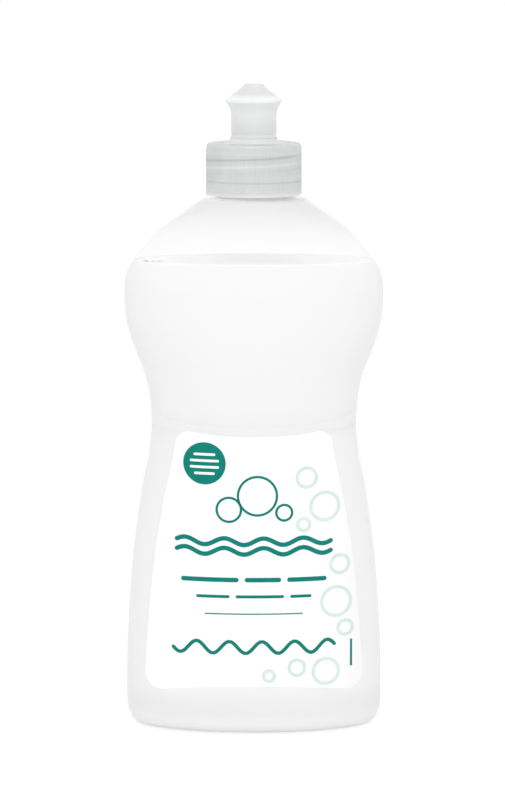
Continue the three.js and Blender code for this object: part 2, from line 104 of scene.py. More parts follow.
# Base and label panel
HEEL_RADIAL = 4.6 * MM
HEEL_AXIAL = 9.0 * MM
STANDING_RING = 3.0 * MM
PUSH_UP = 3.5 * MM
PANEL_DEPTH = 0.5 * MM
PANEL_LEDGE = 2.2 * MM
PANEL_BOTTOM = 11.5 * MM
PANEL_BOTTOM_BOW = 4.4 * MM
PANEL_TOP = 104.0 * MM
PANEL_TOP_BOW = -2.0 * MM
PANEL_BLEND = 9.25 * MM
HEEL_BLEND_FROM = 5.0 * MM
CHEST_BLEND = 6.0 * MM
LEDGE_BLEND = 1.6 * MM

# Neck finish
NECK_BORE = 10.6 * MM
NECK_RADIUS = 12.5 * MM
NECK_FILLET = 1.1 * MM
LIP_ROUND = 0.4 * MM
THREAD_PITCH = 4.23 * MM
THREAD_DEPTH = 1.2 * MM
THREAD_ROOT = 2.4 * MM
THREAD_CREST = 0.9 * MM
THREAD_TURNS = 1.5
THREAD_FADE = 0.08
THREAD_TOP_HEIGHT = LIP_HEIGHT - 2.0 * MM
THREAD_TOP_ANGLE = math.radians(-15)
BEAD_BOTTOM = SHOULDER_HEIGHT + 4.6 * MM
BEAD_HEIGHT = 1.5 * MM
BEAD_DEPTH = 0.9 * MM

# Labels
LABEL_BOTTOM = 14.8 * MM
LABEL_TOP = 101.5 * MM
LABEL_BOTTOM_MARGIN = 7.3 * MM
LABEL_TOP_MARGIN = 9.4 * MM
LABEL_TOP_DIP = 1.4 * MM
LABEL_BOTTOM_ARCH = 2.1 * MM
LABEL_TOP_CORNER = 4.0 * MM
LABEL_BOTTOM_CORNER = 5.2 * MM
LABEL_GAP = 0.2 * MM
LABEL_THICKNESS = 0.2 * MM
PRINT_THICKNESS = 0.04 * MM
SPOT_PLACE = (-16.2 * MM, 91.2 * MM)
SPOT_RADIUS = 7.0 * MM
SIDE_BAR_PLACE = 32.2 * MM

# Closure
CAP_BORE = CAP_RADIUS - 2.0 * MM
DECK_BOTTOM = SEAL_TOP + 0.2 * MM
DECK_TOP = DECK_BOTTOM + 1.2 * MM
CAP_CORNER_RADIAL = 1.3 * MM
CAP_CORNER_AXIAL = 2.8 * MM
CAP_THREAD_RADIUS = NECK_RADIUS + 0.4 * MM
CAP_THREAD_ROOT = 2.1 * MM
CAP_THREAD_CREST = 0.7 * MM
CAP_THREAD_TURNS = 1.2
CAP_THREAD_BOTTOM = BEAD_BOTTOM + BEAD_HEIGHT + 0.3 * MM + CAP_THREAD_ROOT / 2
CAP_THREAD_DROP = 1.74 * MM
BOSS_RADIUS = 7.9 * MM
BOSS_TOP = NOZZLE_BOTTOM - 0.3 * MM
BOSS_SPREAD = 2.6 * MM
SPOUT_RADIUS = 6.05 * MM
SPOUT_BORE = 4.9 * MM
SPOUT_BEAD = 0.45 * MM
SPOUT_BEAD_BOTTOM = NOZZLE_BOTTOM + 6.6 * MM
SPOUT_BEAD_HEIGHT = 1.0 * MM
SPOUT_TOP = SPOUT_BEAD_BOTTOM + 1.7 * MM
RIM_HEIGHT = 1.2 * MM
PIN_RADIUS = 1.4 * MM
PIN_FOOT_RADIUS = 1.9 * MM
PIN_SLIM_FROM = NOZZLE_TOP - 7.9 * MM
SPOKE_COUNT = 3
SPOKE_WIDTH = 1.2 * MM
NOZZLE_RADIUS = 7.6 * MM
NOZZLE_BORE = 6.8 * MM
NOZZLE_LIP = 6.35 * MM
NOZZLE_LIP_HEIGHT = 0.8 * MM
NOZZLE_SEAT_GAP = 0.06 * MM
GRIP_BOTTOM = NOZZLE_BOTTOM + 7.7 * MM
GRIP_EDGE_HEIGHT = NOZZLE_BOTTOM + 12.0 * MM
GRIP_EDGE = 0.8 * MM
TIP_RADIUS = 3.3 * MM
ORIFICE_RADIUS = 1.7 * MM
ORIFICE_LENGTH = 2.4 * MM

# Painted light and shade on the cap's wall, in lines laid over the neck's thread, bead and lip
# behind it, on its rim and in the boss's cove: strengths of the light lines and dark ones
GLOW_SPREAD = 0.36 * MM
GLOW_STRENGTH = 0.26
GLOW_DROP = 0.55 * MM
RIM_GLOW = 0.5
LIP_GLOW = 0.4
BOSS_GLOW = 1.0
CAP_THREAD_GLOW = 0.12
LOW_FLANK_GLOW = 0.6
BEAD_DARKNESS = 0.75
FAINT_THREAD = 0.15
FAINT_BELOW = LIP_HEIGHT - 7 * MM
CLEAR_ABOVE = LIP_HEIGHT - 4 * MM

# Painted light and shade along a piece: (place in mm, share of haze or factor on the colour)
# The neck's haze is partly the thicker plastic and partly painted shade: greyer towards the cap and
# darkest in the gap under its rim
NECK_HAZE_AND_SHADE = (
    (157.0, 0.0),
    (164.0, 0.02),
    (170.0, 0.08),
    (175.0, 0.15),
    (176.9, 0.17),
    (177.7, 0.54),
)
# Painted shade on the wash: darker above the heel and at the panel's top ledge, a little lighter at
# the very bottom
PAINTED_BODY_SHADE = (
    (3.5, 1.02),
    (7.0, 0.95),
    (10.5, 0.95),
    (14.0, 1.0),
    (98.0, 1.0),
    (101.0, 0.97),
    (104.0, 0.97),
    (109.0, 1.0),
)
# Painted light on the wash's flat surface, lighter than its sides
PAINTED_SURFACE_LIGHT = ((-0.1, 1.0), (-0.04, 1.13), (0.04, 1.13), (0.1, 1.05))
# Painted shade on the label film, darker towards its right edge
PAINTED_FILM_SHADE = ((16.0, 1.0), (27.0, 0.985), (35.0, 0.94))
UP = (0.0, 0.0, 1.0)
TO_RIGHT = (1.0, 0.0, 0.0)
# A tilt that puts more of the painted shade near the neck on the right side
UP_AND_RIGHT = (0.03, 0.0, 1.0)

# The wash's surface: (inset, drop) of its curve at the wall, as shares of its rise
MENISCUS_CURVE = ((0.0, 0.0), (0.25, 0.55), (0.7, 0.85), (1.6, 1.0))
MENISCUS_REACH = 1.5
SIDE_SLOPE = 1.15
FRONT_SLOPE = 1.1

# Bubbles on the wash: radii and insets in mm, and their arc in degrees
BUBBLE_RADII = (0.4, 0.75)
BUBBLE_INSETS = (0.1, 1.0)
BUBBLE_ARC = (199, 221)
BUBBLE_SEED = 5

# Camera: where the photograph was taken from
CAMERA_PLACE = (-0.43 * MM, -1600 * MM, 304 * MM)
CAMERA_PITCH = math.radians(-6.933)
CAMERA_LENS = 216.3


def mix(low, high, share):
    return low + (high - low) * share


def smooth_step(low, high, value):
    t = min(max((value - low) / (high - low), 0.0), 1.0)
    return t * t * (3 - 2 * t)


def smooth_curve(stations):
    """A curve through (position, value) stations that never overshoots them."""
    count = len(stations)
    slopes = [0.0] * count
    for i in range(1, count - 1):
        (x0, y0), (x1, y1), (x2, y2) = stations[i - 1 : i + 2]
        left = (y1 - y0) / (x1 - x0)
        right = (y2 - y1) / (x2 - x1)
        if left * right > 0:
            slopes[i] = 2 * left * right / (left + right)
    (x0, y0), (x1, y1) = stations[-2:]
    slopes[-1] = 1.5 * (y1 - y0) / (x1 - x0) - slopes[-2] / 2

    def value_at(x):
        i = 0
        while i < count - 2 and x > stations[i + 1][0]:
            i += 1
        (xa, ya), (xb, yb) = stations[i], stations[i + 1]
        span = xb - xa
        t = min(max((x - xa) / span, 0.0), 1.0)
        leave = t * (1 - t) ** 2 * span * slopes[i]
        arrive = t * t * (t - 1) * span * slopes[i + 1]
        return mix(ya, yb, t * t * (3 - 2 * t)) + leave + arrive

    return value_at


width_curve = smooth_curve(WIDTH_STATIONS)
depth_curve = smooth_curve(DEPTH_STATIONS)


def half_width(height):
    return width_curve(height / MM) * MM


def panel_share(height):
    """1 inside the shallow label panel, 0 above and below it."""
    above = smooth_step(PANEL_BOTTOM - PANEL_LEDGE, PANEL_BOTTOM, height)
    below = 1 - smooth_step(PANEL_TOP, PANEL_TOP + PANEL_LEDGE, height)
    return above * below


def half_depth(height):
    return depth_curve(height / MM) * MM - PANEL_DEPTH * panel_share(height)


def bow_at(height):
    """How far the front and back of the panel's ledges are lifted."""
    low = PANEL_BOTTOM - PANEL_LEDGE
    if height < PANEL_BOTTOM + PANEL_BLEND:
        rise = smooth_step(HEEL_BLEND_FROM, low, height)
        fall = 1 - smooth_step(PANEL_BOTTOM, PANEL_BOTTOM + PANEL_BLEND, height)
        return PANEL_BOTTOM_BOW * rise * fall
    top = PANEL_TOP + PANEL_LEDGE
    rise = smooth_step(PANEL_TOP - PANEL_BLEND, PANEL_TOP, height)
    return PANEL_TOP_BOW * rise * (1 - smooth_step(top, top + CHEST_BLEND, height))


def ellipse_point(width, depth, height, turn):
    lift = bow_at(height) * math.sin(turn) ** 2
    return Vector((width * math.cos(turn), depth * math.sin(turn), height + lift))


def ellipse_ring(width, depth, height, segments):
    return [ellipse_point(width, depth, height, FULL_TURN * j / segments) for j in range(segments)]


def spaced(low, high, step):
    """Values from low to high, both kept, about a step apart."""
    count = max(round(abs(high - low) / step), 1)
    return [mix(low, high, i / count) for i in range(count + 1)]


def body_sections(step=1.2 * MM):
    """(half width, half depth, height) from the middle of the base up to the shoulder's top."""
    width = half_width(0) - HEEL_RADIAL
    depth = half_depth(0) - HEEL_RADIAL
    dome_width = width - STANDING_RING
    dome_depth = depth - STANDING_RING
    sections = []
    for share in spaced(0.02, 1.0, 0.07):
        sections.append((dome_width * share, dome_depth * share, PUSH_UP * (1 - share * share)))
    for i in range(12):
        turn = math.pi / 2 * i / 12
        out = HEEL_RADIAL * math.sin(turn)
        sections.append((width + out, depth + out, HEEL_AXIAL * (1 - math.cos(turn))))
    ledge = PANEL_BOTTOM - PANEL_LEDGE
    top = PANEL_TOP + PANEL_LEDGE
    heights = spaced(HEEL_AXIAL, ledge, step / 3)
    heights += spaced(ledge, PANEL_BOTTOM, PANEL_LEDGE / 5)[1:]
    heights += spaced(PANEL_BOTTOM, PANEL_TOP, step)[1:]
    heights += spaced(PANEL_TOP, top, PANEL_LEDGE / 5)[1:]
    heights += spaced(top, SHOULDER_HEIGHT, step)[1:]
    sections += [(half_width(h), half_depth(h), h) for h in heights]
    return sections


def offset_rings(sections, offset, segments):
    """Rings of points on the sections, moved along the outward normal by the offset."""
    last = len(sections) - 1
    grid = [ellipse_ring(*section, segments) for section in sections]
    if offset == 0:
        return grid
    moved = []
    for i, row in enumerate(grid):
        below = grid[max(i - 1, 0)]
        above = grid[min(i + 1, last)]
        ring = []
        for j, point in enumerate(row):
            around = row[(j + 1) % segments] - row[j - 1]
            along = above[j] - below[j]
            ring.append(point + around.cross(along).normalized() * offset)
        moved.append(ring)
    return moved


def round_ring(radius, height, segments, radius_at=None):
    """A circle; radius_at(turn) may change its radius round the turn."""
    ring = []
    for j in range(segments):
        turn = FULL_TURN * j / segments
        here = radius + (radius_at(turn) if radius_at else 0.0)
        ring.append(Vector((here * math.cos(turn), here * math.sin(turn), height)))
    return ring


def mesh_from_rings(name, rings, ends="open"):
    """A piece from rings of points: ends are closed with a face each, or joined to each other."""
    count = len(rings[0])
    faces = []
    pairs = len(rings) if ends == "joined" else len(rings) - 1
    for i in range(pairs):
        low = i * count
        high = (i + 1) % len(rings) * count
        for j in range(count):
            k = (j + 1) % count
            faces.append((low + j, low + k, high + k, high + j))
    if ends == "closed":
        faces.append(tuple(reversed(range(count))))
        faces.append(tuple(range((len(rings) - 1) * count, len(rings) * count)))
    return new_piece(name, [p for ring in rings for p in ring], faces)


def new_piece(name, points, faces):
    mesh = bpy.data.meshes.new(name)
    mesh.from_pydata([tuple(p) for p in points], [], faces)
    mesh.validate()
    mesh.shade_smooth()
    mesh.set_sharp_from_angle(angle=SHARP_ANGLE)
    piece = bpy.data.objects.new(name, mesh)
    bpy.context.scene.collection.objects.link(piece)
    return piece


def ridge_passes(turn, helix):
    """Where the thread's ridge crosses a turn: heights of its middle, and how full it is there."""
    passes = []
    climbed = (turn - helix["angle"]) / FULL_TURN % 1.0
    while climbed <= helix["turns"]:
        to_end = min(climbed, helix["turns"] - climbed)
        passes.append((helix["bottom"] + THREAD_PITCH * climbed, min(to_end / THREAD_FADE, 1.0)))
        climbed += 1
    return passes


def thread_height(turn, height, helix):
    """How far the thread's ridge stands out at a turn and height, as a share of its depth."""
    best = 0.0
    slope = (helix["root"] - helix["crest"]) / 2
    for middle, full in ridge_passes(turn, helix):
        ridge = (helix["root"] / 2 - abs(height - middle)) / slope
        best = max(best, min(max(ridge, 0.0), 1.0) * full)
    return best


def bell(distance, spread):
    return math.exp(-((distance / spread) ** 2))


def neck_glow(turn, height):
    """Painted light and shade on the cap's wall: above 0 a painted light line, below 0 a painted
    dark one, laid over the neck's thread, the cap's thread, the bead, the lip and the rim.
    """
    rim_top = CAP_BOTTOM + RIM_HEIGHT
    # Painted light band along the cap's rim
    glow = RIM_GLOW * (1 - smooth_step(rim_top - RIM_HEIGHT / 2, rim_top, height))
    height += GLOW_DROP
    flank = THREAD_ROOT / 2
    # Painted shade above each pass of the neck's thread, painted highlight below it
    for middle, full in ridge_passes(turn, NECK_HELIX):
        clear = full * mix(FAINT_THREAD, 1.0, smooth_step(FAINT_BELOW, CLEAR_ABOVE, middle))
        glow -= clear * bell(height - middle - flank, GLOW_SPREAD)
        glow += clear * LOW_FLANK_GLOW * bell(height - middle + flank, GLOW_SPREAD)
    # Painted light lines over the cap's own thread
    for middle, full in ridge_passes(turn, CAP_HELIX):
        glow += full * CAP_THREAD_GLOW * bell(height - middle, 2 * GLOW_SPREAD)
    # Painted shade along the bead, painted highlight at the lip
    glow -= BEAD_DARKNESS * bell(height - BEAD_BOTTOM - 1.3 * BEAD_HEIGHT, 0.7 * GLOW_SPREAD)
    glow += LIP_GLOW * bell(height - LIP_HEIGHT, GLOW_SPREAD)
    return glow


NECK_HELIX = {
    "bottom": THREAD_TOP_HEIGHT - THREAD_PITCH * THREAD_TURNS,
    "angle": THREAD_TOP_ANGLE - FULL_TURN * THREAD_TURNS,
    "turns": THREAD_TURNS,
    "root": THREAD_ROOT,
    "crest": THREAD_CREST,
}
CAP_TURNS_DOWN = (THREAD_TOP_HEIGHT - CAP_THREAD_DROP - CAP_THREAD_BOTTOM) / THREAD_PITCH
CAP_HELIX = {
    "bottom": CAP_THREAD_BOTTOM,
    "angle": THREAD_TOP_ANGLE - FULL_TURN * CAP_TURNS_DOWN,
    "turns": CAP_THREAD_TURNS,
    "root": CAP_THREAD_ROOT,
    "crest": CAP_THREAD_CREST,
}


def curve_points(path, steps=10):
    """A profile of (radius, height) points. A middle point marked "bend" pulls a curve."""
    points = []
    i = 0
    while i < len(path):
        if i + 1 < len(path) and path[i + 1][0] == "bend":
            start, pull, end = Vector(path[i]), Vector(path[i + 1][1:]), Vector(path[i + 2])
            for k in range(steps):
                t = k / steps
                points.append(start * (1 - t) ** 2 + pull * 2 * t * (1 - t) + end * t * t)
            i += 2
        else:
            points.append(Vector(path[i]))
            i += 1
    return points


def turned(name, path, segments, ends="joined", steps=10):
    """A round piece about the neck's axis from a profile."""
    rings = [round_ring(p.x, p.y, segments) for p in curve_points(path, steps)]
    return mesh_from_rings(name, rings, ends)


def material(name, colour, roughness, ior=1.46, shine=0.5, subsurface=0.0):
    made = bpy.data.materials.new(name)
    made.use_nodes = True
    shader = shader_of(made)
    shader.inputs["Base Color"].default_value = (*colour, 1.0)
    shader.inputs["Roughness"].default_value = roughness
    shader.inputs["IOR"].default_value = ior
    shader.inputs["Specular IOR Level"].default_value = shine
    if subsurface:
        shader.inputs["Subsurface Weight"].default_value = subsurface
        shader.inputs["Subsurface Radius"].default_value = (1.0, 1.0, 1.0)
        shader.inputs["Subsurface Scale"].default_value = 3 * MM
    return made


def shader_of(made):
    return made.node_tree.nodes["Principled BSDF"]


def node(made, kind, **values):
    found = made.node_tree.nodes.new(kind)
    for key, value in values.items():
        if hasattr(found, key):
            setattr(found, key, value)
        else:
            found.inputs[key.replace("_", " ")].default_value = value
    return found


def link(made, source, target):
    made.node_tree.links.new(source, target)


def mottle(made, low, high, scale):
    """Varies the base colour softly between two colours, by the piece's own coordinates."""
    shader = shader_of(made)
    place = node(made, "ShaderNodeTexCoord")
    noise = node(made, "ShaderNodeTexNoise", Scale=scale, Detail=3.0)
    ramp = node(made, "ShaderNodeValToRGB")
    for end, position, colour in zip(ramp.color_ramp.elements, (0.35, 0.65), (low, high)):
        end.position = position
        end.color = (*colour, 1.0)
    link(made, place.outputs["Object"], noise.inputs["Vector"])
    link(made, noise.outputs["Fac"], ramp.inputs["Fac"])
    link(made, ramp.outputs["Color"], shader.inputs["Base Color"])


def grain(made, scale, strength, distance):
    """A fine moulded grain as bump."""
    shader = shader_of(made)
    place = node(made, "ShaderNodeTexCoord")
    noise = node(made, "ShaderNodeTexNoise", Scale=scale, Detail=4.0)
    bump = node(made, "ShaderNodeBump", Strength=strength, Distance=distance)
    link(made, place.outputs["Object"], noise.inputs["Vector"])
    link(made, noise.outputs["Fac"], bump.inputs["Height"])
    link(made, bump.outputs["Normal"], shader.inputs["Normal"])


def dress(piece, made, body):
    piece.data.materials.append(made)
    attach(piece, body)


def see_through(made, facing, edge):
    """Lets what is behind show, most where the wall is seen square on and least at its edges."""
    shader = shader_of(made)
    weight = node(made, "ShaderNodeLayerWeight", Blend=0.25)
    share = node(made, "ShaderNodeMapRange", To_Min=facing, To_Max=edge)
    link(made, weight.outputs["Facing"], share.inputs["Value"])
    link(made, share.outputs["Result"], shader.inputs["Alpha"])
    return share


def in_metres(stops, foot=0.0):
    return [(foot + place * MM, value) for place, value in stops]


def ramp_along(made, direction, stops):
    """Greys along a direction of the piece's own space: stops are (place, grey)."""
    low = stops[0][0]
    high = stops[-1][0]
    place = node(made, "ShaderNodeTexCoord")
    along = node(made, "ShaderNodeVectorMath", operation="DOT_PRODUCT")
    along.inputs[1].default_value = direction
    share = node(made, "ShaderNodeMapRange", From_Min=low, From_Max=high)
    ramp = node(made, "ShaderNodeValToRGB")
    points = ramp.color_ramp.elements
    while len(points) < len(stops):
        points.new(0.5)
    for point, (value, grey) in zip(points, stops):
        point.position = (value - low) / (high - low)
        point.color = (grey, grey, grey, 1.0)
    link(made, place.outputs["Object"], along.inputs[0])
    link(made, along.outputs["Value"], share.inputs["Value"])
    link(made, share.outputs["Result"], ramp.inputs["Fac"])
    return ramp.outputs["Color"]


def times_colour(made, factor):
    """Multiplies the base colour by a grey factor."""
    shader = shader_of(made)
    socket = shader.inputs["Base Color"]
    lit = node(made, "ShaderNodeVectorMath", operation="MULTIPLY")
    if socket.is_linked:
        link(made, socket.links[0].from_socket, lit.inputs[0])
    else:
        lit.inputs[0].default_value = socket.default_value[:3]
    link(made, factor, lit.inputs[1])
    link(made, lit.outputs["Vector"], socket)


def clear_plastic(settings):
    """Clear walls that turn hazy towards the thick neck, where the grey haze is also painted shade
    near the cap.
    """
    made = material("clear_plastic", settings.plastic_colour, 0.08, ior=1.5, shine=1.0)
    share = see_through(made, settings.wall_haze, settings.edge_haze)
    grain(made, 60.0, 0.03, 0.3 * MM)
    # Painted shade: the neck's haze grows greyer towards the cap, more on the right
    haze_and_shade = ramp_along(made, UP_AND_RIGHT, in_metres(NECK_HAZE_AND_SHADE))
    both = node(made, "ShaderNodeMath", operation="ADD")
    shader = shader_of(made)
    link(made, share.outputs["Result"], both.inputs[0])
    link(made, haze_and_shade, both.inputs[1])
    link(made, both.outputs[0], shader.inputs["Alpha"])
    return made


def wash_material(settings):
    made = material("milky_wash", settings.wash_colour, 0.3, ior=1.36, shine=0.1, subsurface=0.3)
    pale = [c * 0.985 for c in settings.wash_colour]
    mottle(made, pale, settings.wash_colour, 14.0)
    # Painted light: the wash is lighter at its flat surface
    surface = in_metres(PAINTED_SURFACE_LIGHT, FILL_HEIGHT - settings.meniscus)
    times_colour(made, ramp_along(made, UP, surface))
    # Painted shade along the body: darker above the heel and at the panel's top ledge
    times_colour(made, ramp_along(made, UP, in_metres(PAINTED_BODY_SHADE)))
    return made


def bubble_film():
    made = material("bubble_film", (0.8, 0.8, 0.8), 0.1, ior=1.4, shine=0.3)
    see_through(made, 0.02, 0.9)
    return made


def paper_material(settings):
    """Satin white film, with painted shade towards the right edge."""
    made = material("label_film", settings.film_colour, 0.42, shine=0.3)
    grain(made, 900.0, 0.05, 0.05 * MM)
    # Painted shade towards the film's right edge
    times_colour(made, ramp_along(made, TO_RIGHT, in_metres(PAINTED_FILM_SHADE)))
    return made


def print_material(name, colour):
    made = material(name, colour, 0.4, shine=0.1)
    mottle(made, [c * 0.94 for c in colour], colour, 260.0)
    return made


def build_shell(settings):
    segments = settings.segments
    body = body_sections()
    outer = offset_rings(body, 0.0, segments)
    inner = offset_rings(body, -settings.wall, segments)
    foot = SHOULDER_HEIGHT + NECK_FILLET / 3
    fillet = []
    for i in range(7):
        turn = math.pi / 2 * i / 6
        radius = NECK_RADIUS + NECK_FILLET * (1 - math.sin(turn))
        fillet.append(round_ring(radius, foot + NECK_FILLET * (1 - math.cos(turn)), segments))
    neck = []
    for height in spaced(foot + NECK_FILLET, LIP_HEIGHT - LIP_ROUND, 0.22 * MM)[1:]:
        neck.append(neck_ring(height, segments))
    lip = [
        round_ring(NECK_RADIUS - LIP_ROUND * 0.3, LIP_HEIGHT - LIP_ROUND * 0.3, segments),
        round_ring(NECK_RADIUS - LIP_ROUND, LIP_HEIGHT, segments),
        round_ring(NECK_BORE + LIP_ROUND, LIP_HEIGHT, segments),
        round_ring(NECK_BORE + LIP_ROUND * 0.3, LIP_HEIGHT - LIP_ROUND * 0.3, segments),
    ]
    bore = [
        round_ring(NECK_BORE, height, segments)
        for height in spaced(LIP_HEIGHT - LIP_ROUND, SHOULDER_HEIGHT + NECK_FILLET, 2 * MM)
    ]
    bore.append(round_ring(NECK_RADIUS, SHOULDER_HEIGHT - settings.wall, segments))
    rings = outer + fillet + neck + lip + bore + list(reversed(inner))
    return mesh_from_rings("bottle_shell", rings, "closed")


def neck_ring(height, segments):
    """The neck's outside at a height, with its thread and the bead below it."""
    above_bead = height - BEAD_BOTTOM
    edge = BEAD_HEIGHT / 4
    rise = min(above_bead / edge, (BEAD_HEIGHT - above_bead) / edge, 1.0)
    bead = BEAD_DEPTH * max(rise, 0.0)

    def stand_out(turn):
        return max(bead, THREAD_DEPTH * thread_height(turn, height, NECK_HELIX))

    return round_ring(NECK_RADIUS, height, segments, stand_out)


def off_ledges(height):
    """False near the panel's ledges, which the liquid's side rounds off."""
    low = PANEL_BOTTOM - PANEL_LEDGE - LEDGE_BLEND < height < PANEL_BOTTOM + LEDGE_BLEND
    high = PANEL_TOP - LEDGE_BLEND < height < PANEL_TOP + PANEL_LEDGE + LEDGE_BLEND
    return not (low or high)


def build_wash(settings):
    """The hand wash, with the little rise of its surface along the wall."""
    segments = settings.segments
    gap = settings.wall + settings.wash_gap
    rise = settings.meniscus
    below = [s for s in body_sections() if s[2] < FILL_HEIGHT - 0.4 * MM and off_ledges(s[2])]
    rings = offset_rings(below, -gap, segments)
    width = half_width(FILL_HEIGHT) - gap * SIDE_SLOPE
    depth = half_depth(FILL_HEIGHT) - gap * FRONT_SLOPE
    for inset, drop in MENISCUS_CURVE:
        height = FILL_HEIGHT - rise * drop
        inset *= rise * MENISCUS_REACH
        rings.append(ellipse_ring(width - inset, depth - inset, height, segments))
    surface = FILL_HEIGHT - rise
    for share in (0.8, 0.5, 0.2):
        rings.append(ellipse_ring(width * share, depth * share, surface, segments))
    return mesh_from_rings("wash_fill", rings, "closed")


def build_bubbles(settings):
    """A row of small bubbles where the liquid's surface meets the wall on the left."""
    gap = settings.wall + settings.wash_gap
    width = half_width(FILL_HEIGHT) - gap
    depth = half_depth(FILL_HEIGHT) - gap
    surface = FILL_HEIGHT - settings.meniscus
    chance = random.Random(BUBBLE_SEED)
    made = bmesh.new()
    for i in range(settings.bubble_count):
        radius = chance.uniform(*BUBBLE_RADII) * MM
        degrees = mix(*BUBBLE_ARC, i / settings.bubble_count) + chance.uniform(-0.6, 0.6)
        turn = math.radians(degrees)
        inset = radius + chance.uniform(*BUBBLE_INSETS) * MM
        x = (width - inset) * math.cos(turn)
        y = (depth - inset) * math.sin(turn)
        place = Matrix.Translation((x, y, surface + radius / 2))
        bmesh.ops.create_icosphere(made, subdivisions=3, radius=radius, matrix=place)
    mesh = bpy.data.meshes.new("surface_bubbles")
    made.to_mesh(mesh)
    made.free()
    mesh.shade_smooth()
    piece = bpy.data.objects.new("surface_bubbles", mesh)
    bpy.context.scene.collection.objects.link(piece)
    return piece


def label_half_width(height):
    share = (height - LABEL_BOTTOM) / (LABEL_TOP - LABEL_BOTTOM)
    straight = half_width(height) - mix(LABEL_BOTTOM_MARGIN, LABEL_TOP_MARGIN, share)

    def corner(to_edge, radius):
        into = max(radius - to_edge, 0.0)
        return radius - math.sqrt(max(radius * radius - into * into, 0.0))

    top = corner(LABEL_TOP - height, LABEL_TOP_CORNER)
    return straight - top - corner(height - LABEL_BOTTOM, LABEL_BOTTOM_CORNER)


def on_panel(x, height, offset, side=-1):
    """A point lifted off the label panel, from its place as seen from the front or back."""
    width = half_width(height)
    depth = half_depth(height)
    y = side * depth * math.sqrt(max(1 - (x / width) ** 2, 0.0))
    normal = Vector((x / width**2, y / depth**2, 0.0)).normalized()
    return Vector((-side * x, y, height)) + Vector((-side * normal.x, normal.y, 0.0)) * offset


def sheet_between(name, grid, low, high, side=-1):
    """A thin closed sheet over a grid of (x, height) places, from the low to the high offset."""
    rows = len(grid)
    columns = len(grid[0])
    points = [on_panel(x, z, high, side) for row in grid for x, z in row]
    points += [on_panel(x, z, low, side) for row in grid for x, z in row]
    under = rows * columns
    faces = []
    for i in range(rows - 1):
        for j in range(columns - 1):
            a = i * columns + j
            quad = (a, a + 1, a + 1 + columns, a + columns)
            faces.append(quad)
            faces.append(tuple(under + k for k in reversed(quad)))
    edge = list(range(columns))
    edge += [i * columns + columns - 1 for i in range(1, rows)]
    edge += [(rows - 1) * columns + j for j in range(columns - 2, -1, -1)]
    edge += [i * columns for i in range(rows - 2, 0, -1)]
    for k, a in enumerate(edge):
        b = edge[(k + 1) % len(edge)]
        faces.append((b, a, under + a, under + b))
    return new_piece(name, points, faces)


def build_label(name, side):
    columns, rows = 60, 110
    grid = []
    for i in range(rows + 1):
        up = (1 - math.cos(math.pi * i / rows)) / 2
        edge = mix(LABEL_BOTTOM, LABEL_TOP, up)
        row = []
        for j in range(columns + 1):
            across = 2 * j / columns - 1
            bow = mix(LABEL_BOTTOM_ARCH, -LABEL_TOP_DIP, up) * (1 - across * across)
            row.append((across * label_half_width(edge), edge + bow))
        grid.append(row)
    return sheet_between(name, grid, LABEL_GAP, LABEL_GAP + LABEL_THICKNESS, side)


def print_stripe(name, centres, half_widths, coat=0):
    """A printed stripe along centre points, as wide as the half widths say, on earlier coats."""
    count = len(centres)
    grid = [[] for _ in range(5)]
    for i, (x, z) in enumerate(centres):
        before = centres[max(i - 1, 0)]
        after = centres[min(i + 1, count - 1)]
        along = Vector((after[0] - before[0], after[1] - before[1])).normalized()
        for row, share in zip(grid, (-1.0, -0.5, 0.0, 0.5, 1.0)):
            reach = half_widths[i] * share
            row.append((x - along.y * reach, z + along.x * reach))
    low = LABEL_GAP + LABEL_THICKNESS + PRINT_THICKNESS * coat
    return sheet_between(name, grid, low, low + PRINT_THICKNESS)


def print_bar(name, x, z, half_length, half_height, wave=0.0, waves=0.0, coat=0):
    """A bar with round ends, or a wavy band."""
    centres = []
    halves = []
    for i in range(81):
        share = -math.cos(math.pi * i / 80)
        at = half_length * share
        centres.append((x + at, z + wave * math.sin(FULL_TURN * waves * at / (2 * half_length))))
        into = max(abs(at) - (half_length - half_height), 0.0) / half_height
        halves.append(half_height * math.sqrt(max(1 - into * into, 0.0004)))
    return print_stripe(name, centres, halves, coat)


def print_dashes(name, z, half_height, lengths, gap):
    """A row of bars with round ends, centred on the label."""
    bars = []
    start = -(sum(lengths) + gap * (len(lengths) - 1)) / 2
    for i, length in enumerate(lengths):
        bars.append(print_bar(f"{name}_{i + 1}", start + length / 2, z, length / 2, half_height))
        start += length + gap
    return bars


def print_ring(name, x, z, radius, thickness):
    centres = []
    for i in range(97):
        turn = FULL_TURN * i / 96
        centres.append((x + radius * math.cos(turn), z + radius * math.sin(turn)))
    return print_stripe(name, centres, [thickness / 2] * 97)


def size_prop(name, description, default):
    return FloatProperty(name=name, description=description, default=default, unit="LENGTH")


def share_prop(name, description, default):
    return FloatProperty(name=name, description=description, default=default)


def count_prop(name, description, default):
    return IntProperty(name=name, description=description, default=default)


def tint_prop(name, description, default):
    return FloatVectorProperty(
        name=name, description=description, default=default, subtype="COLOR"
    )


class BottleSettings(bpy.types.PropertyGroup):
    wall: size_prop("Wall", "Thickness of the blown wall", 0.6 * MM)
    wash_gap: size_prop("Wash gap", "Gap between wash and wall", 0.06 * MM)
    meniscus: size_prop("Meniscus", "Rise of the wash at the wall", 0.4 * MM)
    segments: count_prop("Segments", "Faces round the body", 160)
    bubble_count: count_prop("Bubbles", "Small bubbles on the wash's surface", 13)
    wall_haze: share_prop("Wall haze", "How much a wall veils, seen square on", 0.035)
    edge_haze: share_prop("Edge haze", "How much a wall veils, seen edge on", 0.09)
    plastic_colour: tint_prop("Plastic", "Tint of the clear plastic", (0.6, 0.6, 0.6))
    wash_colour: tint_prop("Wash", "Colour of the hand wash", (0.87, 0.87, 0.87))


